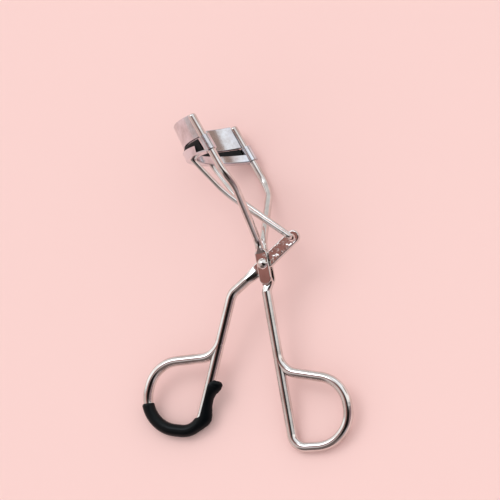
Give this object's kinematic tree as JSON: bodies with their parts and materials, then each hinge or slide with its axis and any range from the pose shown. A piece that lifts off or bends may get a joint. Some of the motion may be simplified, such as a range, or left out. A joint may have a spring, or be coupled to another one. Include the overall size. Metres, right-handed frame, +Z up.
{
  "type": "eyelash curler",
  "caption": "Wire eyelash curler with finger loops, a pivoting lever handle, and a jaw with a rubber pad that slides on guide rods towards a fixed curved jaw.",
  "frame": {"origin": "centre of the box's base, on the table the curler lies on", "axes": "+Y along the frame handle towards the jaws, +X to the side of the frame handle's finger loop, +Z up from the table"},
  "size_m": [0.0658, 0.107, 0.0399],
  "materials": {
    "bright_plate": "bright nickel plating on polished steel wire and strip",
    "silicone": "satin black silicone",
    "nitrile": "matte black rubber"
  },
  "bodies": {
    "frame": {"left_frame_rod": "bright_plate", "right_frame_rod": "bright_plate", "upper_jaw": "bright_plate", "pivot_rivet": "bright_plate", "frame_handle": "bright_plate"},
    "lever": {"lever_handle": "bright_plate", "finger_grip": "silicone"},
    "carriage": {"lower_jaw": "bright_plate", "lash_pad": "nitrile", "fork_wire": "bright_plate"}
  },
  "joints": [
    {"name": "lever_hinge", "type": "hinge", "parent": "frame", "child": "lever", "pos_m": [0.01402, 0.00418, 0.01278], "axis": [0.0568, 0.2004, -0.9781], "range_deg": [-0.5, 25]},
    {"name": "jaw_slide", "type": "slide", "parent": "frame", "child": "carriage", "axis": [0.3333, -0.9273, -0.1706], "range_m": [-0.00015, 0.0051]}
  ],
  "couplings": [
    {"joint": "jaw_slide", "follows": "lever_hinge", "m_per_rad": 0.0116}
  ]
}
